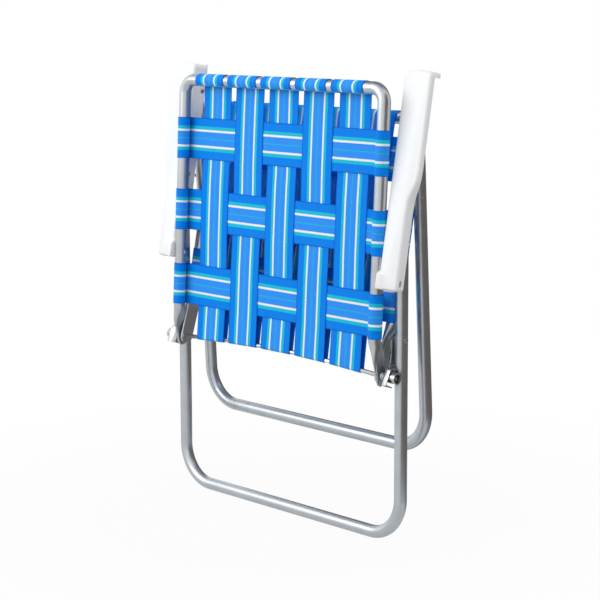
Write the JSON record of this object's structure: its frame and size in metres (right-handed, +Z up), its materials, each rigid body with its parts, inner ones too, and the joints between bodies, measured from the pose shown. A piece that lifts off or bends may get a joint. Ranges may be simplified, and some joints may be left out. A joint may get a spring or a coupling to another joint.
{
  "type": "folding webbed lawn chair",
  "caption": "Folded tube-frame lawn chair with an interlaced web seat and back, flat moulded arms and a coupled folding linkage.",
  "frame": {"origin": "under the middle of the folded chair's bounding box, on the ground", "axes": "+X across the chair, +Y towards its front, +Z up with the chair folded and upright"},
  "size_m": [0.6694, 0.1266, 0.809],
  "materials": {
    "tube": "satin drawn tube",
    "zinc": "bright zinc plated",
    "arm": "smooth white moulding",
    "web": "woven polypropylene webbing"
  },
  "bodies": {
    "front_legs": {"front_leg": "tube", "seat_rivet_right": "zinc", "seat_rivet_left": "zinc"},
    "arms": {"arm_right": "arm", "arm_left": "arm", "arm_front_rivet_right": "zinc", "arm_front_rivet_left": "zinc", "arm_rear_rivet_right": "zinc", "arm_rear_rivet_left": "zinc", "arm_back_rivet_right": "zinc", "arm_back_rivet_left": "zinc"},
    "rear_legs": {"rear_leg": "tube", "leg_rivet_right": "zinc", "leg_rivet_left": "zinc"},
    "seat": {"seat_frame": "tube", "web_rod": "zinc", "seat_web_1": "web", "seat_web_2": "web", "seat_web_3": "web", "seat_web_4": "web", "seat_web_5": "web", "seat_cross_1": "web", "seat_cross_2": "web", "seat_cross_3": "web", "hinge_nut_right": "zinc", "hinge_nut_left": "zinc"},
    "back": {"back_frame": "tube", "back_web_1": "web", "back_web_2": "web", "back_web_3": "web", "back_web_4": "web", "back_web_5": "web", "back_cross_1": "web", "back_cross_2": "web", "back_cross_3": "web"},
    "links": {"link_right": "zinc", "link_left": "zinc", "clip_right": "zinc", "clip_left": "zinc", "link_bolt_right": "zinc", "link_bolt_left": "zinc"}
  },
  "joints": [
    {"name": "seat_fold", "type": "hinge", "parent": "front_legs", "child": "seat", "pos_m": [0, 0.02507, 0.5941], "axis": [-1, 0, 0], "range_deg": [0, 88]},
    {"name": "arm_fold", "type": "hinge", "parent": "front_legs", "child": "arms", "pos_m": [0, 0.02057, 0.7551], "axis": [-1, 0, 0], "range_deg": [0, 88]},
    {"name": "back_hinge", "type": "hinge", "parent": "seat", "child": "back", "pos_m": [0, -0.03943, 0.2961], "axis": [1, 0, 0], "range_deg": [0, 88]},
    {"name": "rear_leg_pivot", "type": "hinge", "parent": "arms", "child": "rear_legs", "pos_m": [0, -0.01543, 0.6011], "axis": [1, 0, 0], "range_deg": [0, 54.9]},
    {"name": "link_pivot", "type": "hinge", "parent": "back", "child": "links", "pos_m": [0, -0.03943, 0.2961], "axis": [-1, 0, 0], "range_deg": [0, 152.2]}
  ],
  "couplings": [
    {"joint": "arm_fold", "follows": "seat_fold", "ratio": 1},
    {"joint": "back_hinge", "follows": "seat_fold", "ratio": 1},
    {"joint": "rear_leg_pivot", "follows": "seat_fold", "ratio": 0.62386},
    {"joint": "link_pivot", "follows": "seat_fold", "ratio": 1.7295}
  ]
}
